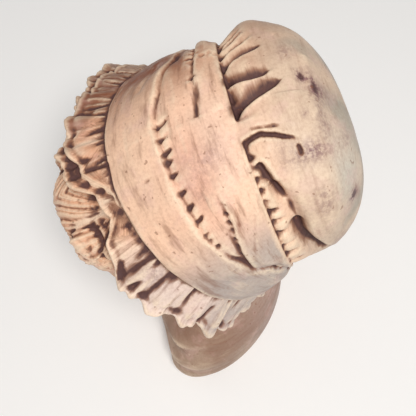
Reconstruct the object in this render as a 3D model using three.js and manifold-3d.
// Bust of a woman in a gathered bonnet, cast in one piece and cut flat below the shoulders.
// Millimetres, +Z up, the face towards -Y, the origin at the middle of the flat underside.
import * as THREE from "three";
import { mergeVertices } from "three/addons/utils/BufferGeometryUtils.js";
import Module from "manifold-3d";

// Driving dimensions

// The bonnet is a fan of oval rings that meet at the nape. Each ring has its centre, the slope of its
// plane up from the nape to the brow in degrees, its half width and its half length.
const RINGS = [
  { y: -5.8, z: 171, slope: 41, wide: 66, long: 59.5 }, // front edge, where the ruffle starts
  { y: 6.6, z: 180.5, slope: 54, wide: 63, long: 58.6 }, // back edge of the front ribbon
  { y: 13.5, z: 182, slope: 64, wide: 60, long: 57.6 }, // front edge of the back ribbon
  { y: 20.9, z: 182.5, slope: 74, wide: 56, long: 56 }, // back edge of the back ribbon
];
const CROWN_DEPTH = 48.5; // how far the crown puffs out behind the last ring
const CROWN_SQUARE = 2.8; // 2 is a round crown, more is a flatter end with rounder shoulders
const RIBBON_STEP = 1.8; // how far a ribbon stands off the cloth beside it
// Where two edges lie among the rings, by degrees of turn: the seam behind the front ribbon, and the
// front edge of the back ribbon. On the left they meet and run back together.
const SEAM = [
  [-180, 1], [-110, 1], [-45, 1.38], [-23, 1.17], [-8, 1], [46, 1], [57, 1.13], [71, 1.42], [82, 2.15],
  [94, 2.5], [140, 1], [180, 1],
];
const BACK_EDGE = [
  [-180, 2], [-110, 2], [-45, 2.32], [-5, 2.22], [12, 2.08], [37, 2], [46, 1.93], [54, 1.78], [62, 1.64],
  [71, 1.56], [82, 2.3], [94, 2.66], [140, 2], [180, 2],
];
const WORN = { from: -6, to: 42, soft: 11 }; // here the back ribbon's front edge is worn away
const BULGES = [
  // on the ribbons: turn in degrees and ring number of the middle, the half widths of each, the height
  { at: -46, wide: 16, t: 0.6, deep: 0.7, by: -3 },
  { at: -46, wide: 14, t: 2.4, deep: 0.8, by: 3 },
];
const MM_PER_DEGREE = 1.06; // along the crown's rim
const GATHERS = { count: 26, depth: 2.6, fade: 0.12 }; // folds where the crown is drawn into the ribbon
const FLUSH = { from: -3, to: 14, soft: 3, fade: 0.22 }; // here the crown runs on from the ribbon
// Long furrows fan out over the top, right of the middle. Angles are in degrees of turn.
const FAN = { first: 0, pitch: -10.5, count: 5, lean: -20, reach: 0.5, depth: 4, wide: 3 };
const LOBES = [
  // turn in degrees and depth of the middle, the half widths of each, and the height
  { at: -55, wide: 24, depth: 0.3, deep: 0.26, by: 8.5 },
  { at: -48, wide: 28, depth: 0.72, deep: 0.25, by: 6 },
  { at: 80, wide: 24, depth: 0.35, deep: 0.3, by: -1.5 },
  { at: 50, wide: 26, depth: 0.55, deep: 0.25, by: 3 },
  { at: -5, wide: 16, depth: 0.8, deep: 0.2, by: -2 },
  { at: 5, wide: 14, depth: 0.22, deep: 0.14, by: 1.2 },
  { at: 130, wide: 30, depth: 0.5, deep: 0.3, by: 1.5 },
  { at: -110, wide: 26, depth: 0.5, deep: 0.25, by: -1.5 },
  { at: 5, wide: 20, depth: 0.88, deep: 0.15, by: -2 },
];
const CREASES = [
  // lines of turn in degrees and depth; the third one stands up instead
  { depth: 3.8, wide: 2.2, line: [[17, 0.0], [15, 0.12], [17, 0.28], [20, 0.39], [25, 0.5]] },
  { depth: 5, wide: 3.2, line: [[25, 0.07], [34, 0.12], [43, 0.18], [60, 0.22], [80, 0.28], [105, 0.4]] },
  { depth: -1, wide: 3, line: [[-22, 0.75], [3, 0.71], [20, 0.64]] },
  { depth: 3, wide: 3, line: [[-160, 0.0], [-145, 0.5]] },
  { depth: 3, wide: 3, line: [[125, 0.0], [115, 0.45]] },
];
for (let i = 0; i < FAN.count; i++) {
  const turn = FAN.first + FAN.pitch * i;
  const line = [[turn, -0.1], [turn + FAN.lean * FAN.reach, FAN.reach]];
  CREASES.push({ depth: FAN.depth, wide: FAN.wide, line });
}
const BONNET_HOLLOW = 10; // how far the opening round the face is sunk

// Two pleated frills run forward from the front edge, the inner one inset towards the face. Each has
// its flare in degrees on the right and on the left side, and its reach in mm at some turns in degrees:
// over the left brow both are turned up.
const RUFFLE = {
  inset: 0.962,
  seed: 31,
  flare: [37, 22],
  thick: 3.2,
  swing: 1.9,
  reach: [
    [-180, 20], [-85, 24], [-65, 26], [-50, 27], [-37, 24.5], [-24, 22.5], [-12, 29.5], [-3, 26], [3, 20],
    [10, 11], [18, 9], [28, 18], [41, 27], [55, 25.5], [68, 23], [84, 25], [100, 28], [125, 23], [180, 20],
  ],
};
const FRILL = {
  inset: 0.87,
  seed: 41,
  flare: [8, 8],
  thick: 2.8,
  swing: 1.6,
  reach: [
    [-180, 19], [-60, 20], [-10, 22], [12, 24], [26, 28], [33, 31], [42, 30], [55, 24], [75, 21], [180, 19],
  ],
};
const WAVES = { count: 26, right: 0.35 }; // right is how weak the waves are on the right side

const HEAD = new THREE.Vector3(0, -28, 162); // the middle of the skull
const HEAD_BOW = 8; // how far the head bows forward, in degrees
const HEAD_CROWDING = 0.55; // 0 spreads the columns evenly, towards 1 draws them to the face

const BODY = [
  // height, half width, half depth, middle in depth
  { z: 0, wide: 79, deep: 46.5, y: -6.5 },
  { z: 16, wide: 83, deep: 50, y: -6 },
  { z: 32, wide: 82, deep: 50.5, y: -5.5 },
  { z: 46, wide: 76.5, deep: 47.5, y: -3.5 },
  { z: 58, wide: 65, deep: 41, y: -1.5 },
  { z: 68, wide: 50, deep: 34, y: -2 },
  { z: 78, wide: 37, deep: 31.5, y: -4 },
  { z: 90, wide: 31, deep: 28.5, y: -7 },
  { z: 108, wide: 29, deep: 27.5, y: -10 },
  { z: 150, wide: 28, deep: 27, y: -12 },
];
const SHOULDER_FORWARD = 17; // how far the tips of the shoulders lie in front of the back
const CHEST = 0.86; // how flat the middle of the chest is beside the back, up to the neck
const SHAWL = { fold: 17, depth: 2.6, hem: 2 }; // folds that run along the neckline
const NECKLINE = { front: 34, side: 80, back: 84 }; // height of the shawl's upper edge

const STEPS = { bonnet: 104, head: 44, body: 40 };

const FIRED_CREAM = new THREE.MeshStandardMaterial({ color: 0xd9b48f, roughness: 0.5, metalness: 0 });

// Small tools

const radians = THREE.MathUtils.degToRad;
const { lerp, smoothstep, clamp } = THREE.MathUtils;

// Reads a row of control objects at t, from 0 at the first to length - 1 at the last, on smooth curves.
function between(rows, t) {
  const i = clamp(Math.floor(t), 0, rows.length - 2);
  const f = t - i;
  const before = rows[Math.max(i - 1, 0)];
  const after = rows[Math.min(i + 2, rows.length - 1)];
  const made = {};
  for (const key of Object.keys(rows[0])) {
    const [a, b, c, d] = [before[key], rows[i][key], rows[i + 1][key], after[key]];
    const bend = (2 * a - 5 * b + 4 * c - d) * f * f + (3 * b - a - 3 * c + d) * f * f * f;
    made[key] = b + 0.5 * ((c - a) * f + bend);
  }
  return made;
}

// A hump of height 1 at the centre, and nearly 0 at twice the width.
const hump = (x, centre, width) => Math.exp(-(((x - centre) / width) ** 2));

// A closed body from rows of points: round each row, and capped at both ends by a fan to one point.
// The second half of each row is divided the other way about, so that both sides come out alike.
function lathe(rows, first, last) {
  const count = rows[0].length;
  const points = [first, ...rows.flat(), last];
  const at = (row, i) => 1 + row * count + (i % count);
  const faces = [];
  for (let i = 0; i < count; i++) {
    faces.push(0, at(0, i + 1), at(0, i));
    for (let row = 0; row + 1 < rows.length; row++) {
      const [a, b, c, d] = [at(row, i), at(row, i + 1), at(row + 1, i + 1), at(row + 1, i)];
      if (i < count / 2) faces.push(a, b, d, b, c, d);
      else faces.push(a, b, c, a, c, d);
    }
    faces.push(at(rows.length - 1, i), at(rows.length - 1, i + 1), points.length - 1);
  }
  return new THREE.BufferGeometry().setFromPoints(points).setIndex(faces);
}

const wasm = await Module();
wasm.setup();

function solid(geometry) {
  const merged = mergeVertices(geometry, 1e-4);
  const made = new wasm.Manifold(
    new wasm.Mesh({
      numProp: 3,
      vertProperties: new Float32Array(merged.attributes.position.array),
      triVerts: new Uint32Array(merged.index.array),
    }),
  );
  if (made.volume() > 0) return made;
  const turned = merged.index.array.slice();
  for (let i = 0; i < turned.length; i += 3) [turned[i], turned[i + 1]] = [turned[i + 1], turned[i]];
  return new wasm.Manifold(
    new wasm.Mesh({
      numProp: 3,
      vertProperties: new Float32Array(merged.attributes.position.array),
      triVerts: new Uint32Array(turned),
    }),
  );
}

function geometryOf(manifold) {
  const mesh = manifold.getMesh();
  const geometry = new THREE.BufferGeometry();
  geometry.setAttribute("position", new THREE.BufferAttribute(mesh.vertProperties, 3));
  geometry.setIndex(new THREE.BufferAttribute(mesh.triVerts, 1));
  geometry.computeVertexNormals();
  return geometry;
}

// The bonnet's rings: t runs over RINGS, and turn goes round from the top of the head to its left

function ringAt(t) {
  const ring = between(RINGS, t);
  const slope = radians(ring.slope);
  return {
    ...ring,
    centre: new THREE.Vector3(0, ring.y, ring.z),
    brow: new THREE.Vector3(0, -Math.cos(slope), Math.sin(slope)), // from the nape towards the top
    back: new THREE.Vector3(0, Math.sin(slope), Math.cos(slope)), // square to the ring, backwards
  };
}

function onRing(ring, turn, scale = 1, along = 0) {
  return ring.centre
    .clone()
    .add(new THREE.Vector3(ring.wide * scale * Math.sin(turn), 0, 0))
    .addScaledVector(ring.brow, ring.long * scale * Math.cos(turn))
    .addScaledVector(ring.back, along);
}

const turnOf = (i, count) => (i / count) * 2 * Math.PI;
const degreesOf = (turn) => THREE.MathUtils.radToDeg(turn > Math.PI ? turn - 2 * Math.PI : turn);

// Smooth reading of a table of pairs.
function curve(x, table) {
  let i = 0;
  while (i < table.length - 2 && x > table[i + 1][0]) i++;
  const [[x0, y0], [x1, y1]] = [table[i], table[i + 1]];
  return lerp(y0, y1, smoothstep(x, x0, x1));
}

// Where nominal t lies, with the seam at 1 and the back ribbon's front edge at 2.
function onBand(t, degrees) {
  const seam = curve(degrees, SEAM);
  const edge = curve(degrees, BACK_EDGE);
  if (t < 1) return t * seam;
  if (t < 2) return lerp(seam, edge, t - 1);
  return lerp(edge, 3, t - 2);
}

// How far the two ribbons and the cloth between them stand out at nominal t. The steps are soft edges.
function ribbonRelief(t, degrees) {
  const front = 1 - smoothstep(t, 0.9, 1.1);
  const worn =
    smoothstep(degrees, WORN.from, WORN.from + WORN.soft) *
    (1 - smoothstep(degrees, WORN.to - WORN.soft, WORN.to));
  const back = lerp(smoothstep(t, 1.9, 2.1), smoothstep(t, 1.1, 2.2), worn);
  let relief = RIBBON_STEP * Math.max(front, back);
  for (const bulge of BULGES) {
    relief += bulge.by * hump(degrees, bulge.at, bulge.wide) * hump(t, bulge.t, bulge.deep);
  }
  return relief;
}

// Distance in millimetres from a crease's middle line, and how far along it, on the crown.
function creaseAt(crease, degrees, depth) {
  let best = { off: Infinity, along: 0 };
  for (let i = 0; i + 1 < crease.line.length; i++) {
    const [fromTurn, fromDepth] = crease.line[i];
    const [toTurn, toDepth] = crease.line[i + 1];
    const run = new THREE.Vector2((toTurn - fromTurn) * MM_PER_DEGREE, (toDepth - fromDepth) * CROWN_DEPTH);
    const here = new THREE.Vector2((degrees - fromTurn) * MM_PER_DEGREE, (depth - fromDepth) * CROWN_DEPTH);
    const h = clamp(here.dot(run) / run.lengthSq(), 0, 1);
    const off = here.distanceTo(run.clone().multiplyScalar(h));
    if (off < best.off) best = { off, along: (i + h) / (crease.line.length - 1) };
  }
  return best;
}

// How far the crown's surface stands out from its plain shape: gathers, lobes and sharp creases.
function crownRelief(turn, depth) {
  const degrees = degreesOf(turn);
  const fanned = degrees < FAN.first && degrees > FAN.first + FAN.pitch * FAN.count;
  const drawn = Math.exp(-((Math.max(depth - 0.05, 0) / GATHERS.fade) ** 2)) * (fanned ? 0.3 : 1);
  const flush =
    smoothstep(degrees, FLUSH.from, FLUSH.from + FLUSH.soft) *
    (1 - smoothstep(degrees, FLUSH.to - FLUSH.soft, FLUSH.to));
  let relief = -GATHERS.depth * drawn * (0.5 - 0.5 * Math.cos(GATHERS.count * turn)) * (1 - flush);
  relief += RIBBON_STEP * Math.exp(-((depth / FLUSH.fade) ** 2)) * lerp(0.35, 1, flush);
  for (const lobe of LOBES) {
    relief += lobe.by * hump(degrees, lobe.at, lobe.wide) * hump(depth, lobe.depth, lobe.deep);
  }
  for (const crease of CREASES) {
    const { off, along } = creaseAt(crease, degrees, depth);
    const ends = smoothstep(along, 0, 0.12) * (1 - smoothstep(along, 0.75, 1));
    relief -= crease.depth * Math.exp(-((off / crease.wide) ** 2)) * ends;
  }
  return relief;
}

// A pleated frill's surface: share runs from 0 at the root to 1 at the hem, side is 1 outside, -1 inside.
// The waves are drawn together at the root and grow to the hem.
function onFrill(frill, turn, share, side) {
  const ring = ringAt(0);
  const left = 0.5 + 0.5 * Math.sin(turn);
  const flare = radians(lerp(...frill.flare, left));
  const run = curve(degreesOf(turn), frill.reach) * share;
  const fine = Math.sin(WAVES.count * turn + 0.35 * Math.sin(3 * turn)) * lerp(WAVES.right, 1, left);
  const slow = 0.7 * Math.sin(5 * turn + 1) + 0.5 * Math.sin(9 * turn + frill.seed);
  const out = run * Math.sin(flare) + frill.swing * share * (fine + slow) + (side * frill.thick) / 2;
  const outward = onRing(ring, turn).sub(ring.centre).normalize();
  return onRing(ring, turn, frill.inset, -run * Math.cos(flare)).addScaledVector(outward, out);
}

// One skin from the back of the crown forward over the ribbons, out and back along each frill, and
// across the sunk opening round the face.
function bonnet() {
  const opening = ringAt(0);
  const last = ringAt(RINGS.length - 1);
  const rows = [];
  const add = (point) => {
    rows.push(Array.from({ length: STEPS.bonnet }, (_, i) => point(turnOf(i, STEPS.bonnet))));
  };

  for (const depth of [0.96, 0.87, 0.75, 0.62, 0.49, 0.38, 0.28, 0.19, 0.11, 0.04]) {
    const profile = (1 - depth ** CROWN_SQUARE) ** (1 / CROWN_SQUARE);
    add((turn) => {
      const scale = profile + (crownRelief(turn, depth) * Math.sqrt(profile)) / last.wide;
      return onRing(last, turn, scale, depth * CROWN_DEPTH);
    });
  }
  for (const t of [3, 2.1, 1.9, 1.1, 0.9, 0.45, 0]) {
    add((turn) => {
      const degrees = degreesOf(turn);
      const ring = ringAt(onBand(t, degrees));
      return onRing(ring, turn, 1 + ribbonRelief(t, degrees) / ring.wide);
    });
  }
  for (const share of [0, 0.5, 1]) add((turn) => onFrill(RUFFLE, turn, share, 1));
  for (const share of [1, 0.5, 0]) add((turn) => onFrill(RUFFLE, turn, share, -1));
  for (const share of [0, 1]) add((turn) => onFrill(FRILL, turn, share, 1));
  for (const share of [1, 0]) add((turn) => onFrill(FRILL, turn, share, -1));

  return solid(lathe(rows, onRing(last, 0, 0, CROWN_DEPTH), onRing(opening, 0, 0, BONNET_HOLLOW)));
}

// The head as a distance field in its own frame: x left, y back, z up, from the middle of the head

const P = (x, y, z) => new THREE.Vector3(x, y, z);
const ball = (p, centre, radius) => p.distanceTo(centre) - radius;

function egg(p, centre, radii) {
  const q = p.clone().sub(centre).divide(radii);
  const slope = q.clone().divide(radii).length();
  const k = q.length();
  return slope < 1e-9 ? -Math.min(radii.x, radii.y, radii.z) : (k * (k - 1)) / slope;
}

function rod(p, from, to, startRadius, endRadius = startRadius) {
  const axis = to.clone().sub(from);
  const h = clamp(p.clone().sub(from).dot(axis) / axis.lengthSq(), 0, 1);
  return p.distanceTo(from.clone().addScaledVector(axis, h)) - lerp(startRadius, endRadius, h);
}

// Joins two distances with a soft blend of width k. meet keeps what is inside both, cut takes b away.
function join(a, b, k) {
  const h = Math.max(k - Math.abs(a - b), 0) / k;
  return Math.min(a, b) - h * h * k * 0.25;
}
const meet = (a, b, k) => -join(-a, -b, k);
const cut = (a, b, k) => meet(a, -b, k);

function chain(p, points, radius, k) {
  let d = rod(p, points[0], points[1], radius);
  for (let i = 1; i + 1 < points.length; i++) d = join(d, rod(p, points[i], points[i + 1], radius), k);
  return d;
}

// The hair, parted in the middle: a smooth mass down to the hairline, a roll over the forehead, and on
// each side a curl and two thick locks.
function hairField(p) {
  const mass = egg(p, P(0, 2, 0), P(44, 55, 45));
  let hair = meet(mass, (25 - 0.03 * p.x * p.x - p.z) * 0.7, 5);
  hair = join(hair, egg(p, P(0, -31, 23), P(19, 22, 14.5)), 1.2);
  hair = join(hair, chain(p, UPPER_LOCK, 6, 2), 2);
  hair = join(hair, chain(p, LOWER_LOCK, 6, 2), 2);
  hair = join(hair, ball(p, CURL, 7), 1);
  return cut(hair, rod(p, P(0, -66, 30), P(0, -46, 46), 2.2), 3);
}

// The face is calm, and both halves are alike. The eyes lie halfway between the chin and the crown.
function faceField(point) {
  const p = P(Math.abs(point.x), point.y, point.z);
  let d = egg(p, P(0, 2, -2), P(41, 51, 42));
  d = join(d, egg(p, P(0, -14, -22), P(35, 35, 42)), 12);
  d = join(d, egg(p, P(0, -18, -42), P(28, 28, 24)), 12);
  d = join(d, egg(p, P(0, -40, -57), P(12, 10, 10)), 10);
  d = join(d, egg(p, P(21, -34, -27), P(13, 12, 13)), 10);
  d = join(d, rod(p, P(6, -46, 0.5), P(22, -42, 0.5), 3.6), 8);
  d = cut(d, egg(p, P(16, -55, -10), P(10.5, 9, 7.5)), 6);
  d = join(d, ball(p, P(15.8, -39, -11), 8.6), 1.5);
  d = join(d, chain(p, UPPER_LID, 1.4, 1), 1.6);
  d = join(d, chain(p, LOWER_LID, 1, 1), 1.6);
  d = join(d, rod(p, P(0, -47, -5), P(0, -60.5, -28), 3.3, 4.4), 5);
  d = join(d, ball(p, P(0, -60.5, -30), 4.6), 2);
  d = join(d, ball(p, P(4.8, -54.8, -32.8), 3.2), 2.5);
  d = join(d, egg(p, P(0, -42, -46), P(17, 12.5, 13)), 8);
  d = join(d, rod(p, P(1.5, -54.6, -42.2), P(12, -49.5, -45.2), 2.9, 1.4), 2);
  d = join(d, rod(p, P(0, -54, -49.4), P(10.5, -49.5, -47.4), 3.4, 1.6), 2);
  d = cut(d, rod(p, P(0, -59, -45.6), P(13.5, -52, -46.2), 1.3), 1.5);
  return join(d, hairField(p), 1.2);
}

const UPPER_LOCK = [P(22, -42, 24), P(30, -36, 14), P(35, -26, 0), P(37, -13, -14)];
const LOWER_LOCK = [P(8, -46, 22), P(22, -42, 13), P(32, -31, 0), P(36, -18, -13)];
const CURL = P(25.5, -41, 21);
const UPPER_LID = [P(8.5, -44.5, -11.5), P(12, -47.3, -8), P(17, -47.6, -7), P(23.5, -43.5, -10.5)];
const LOWER_LID = [P(8.5, -44.5, -12), P(13, -46.8, -14.6), P(18, -46.6, -14.4), P(23.5, -43.2, -11)];

// The field's outermost surface along a direction from the middle of the head.
function reachOf(field, direction) {
  const at = (r) => field(direction.clone().multiplyScalar(r));
  let outside = 90;
  while (outside > 2 && at(outside) > 0) outside -= Math.max(at(outside) * 0.7, 0.6);
  let inside = outside;
  outside += 2;
  for (let i = 0; i < 14; i++) {
    const middle = (inside + outside) / 2;
    if (at(middle) > 0) outside = middle;
    else inside = middle;
  }
  return inside;
}

// Rays in rows like degrees of latitude, and closer together in front than behind.
function head() {
  const bow = radians(HEAD_BOW);
  const cast = (turn, rise) => {
    const flat = Math.cos(rise);
    const way = P(flat * Math.sin(turn), -flat * Math.cos(turn), Math.sin(rise));
    return way.multiplyScalar(reachOf(faceField, way)).applyAxisAngle(P(1, 0, 0), bow).add(HEAD);
  };
  const rows = [];
  for (let rise = -62; rise < 60; rise += rise < -6 ? 3.4 : 6.5) {
    rows.push(
      Array.from({ length: STEPS.head }, (_, i) => {
        const even = turnOf(i, STEPS.head);
        return cast(even - HEAD_CROWDING * Math.sin(even), radians(rise));
      }),
    );
  }
  return solid(lathe(rows, cast(0, -Math.PI / 2), cast(0, Math.PI / 2)));
}

// The shoulders, chest and neck: level sections, with the shawl's folds running over the shoulders

// The shawl's upper edge: a V on the chest, and a low curve round the back of the neck.
function neckline(turn) {
  const side = Math.abs(Math.sin(turn));
  if (Math.cos(turn) > 0) return lerp(NECKLINE.back, NECKLINE.side, side);
  return lerp(NECKLINE.front, NECKLINE.side, Math.pow(side, 0.75));
}

function shawlRelief(turn, z) {
  const below = neckline(turn) - z;
  const roll = Math.sin((2 * Math.PI * below) / SHAWL.fold + 1.1 * Math.sin(2 * turn));
  const calm = lerp(1, 0.5, smoothstep(Math.abs(Math.sin(turn)), 0.7, 0.95)); // on the shoulders' tips
  const folds = SHAWL.depth * (0.4 + 0.6 * roll * calm) * smoothstep(z, 3, 12);
  return smoothstep(below, -1, 3) * (SHAWL.hem + folds);
}

function body() {
  const levels = [0, 3, 9, 15, 21, 27, 33, 38, 43, 48, 53, 58, 63, 68, 73, 78, 83, 90, 108, 145];
  const heightToRow = (z) => {
    let i = 0;
    while (i < BODY.length - 2 && z > BODY[i + 1].z) i++;
    return i + (z - BODY[i].z) / (BODY[i + 1].z - BODY[i].z);
  };
  const rows = levels.map((z) =>
    Array.from({ length: STEPS.body }, (_, i) => {
      const turn = turnOf(i, STEPS.body);
      const { wide, deep, y } = between(BODY, heightToRow(z));
      const edge = z === 0 ? -1.5 : 0; // a small round at the foot
      const out = 1 + (shawlRelief(turn, z) + edge) / deep;
      const x = wide * out * Math.sin(turn);
      const forward = SHOULDER_FORWARD * (Math.abs(x) / BODY[1].wide) ** 3;
      const middle = smoothstep(-Math.cos(turn), 0.5, 0.9) * (1 - smoothstep(z, 55, 85));
      const flat = lerp(1, CHEST, middle);
      return P(x, y + deep * flat * out * Math.cos(turn) - forward, z);
    }),
  );
  const middle = BODY[0].y;
  return solid(lathe(rows, P(0, middle, 0), P(0, BODY[BODY.length - 1].y, 145)));
}

const pieces = [
  bonnet(),
  head(),
  body(),
];
const cast = pieces.reduce((whole, piece) => whole.add(piece));

const mesh = new THREE.Mesh(geometryOf(cast), FIRED_CREAM);
mesh.name = "bust";

const part = new THREE.Group();
part.add(mesh);
export default part;
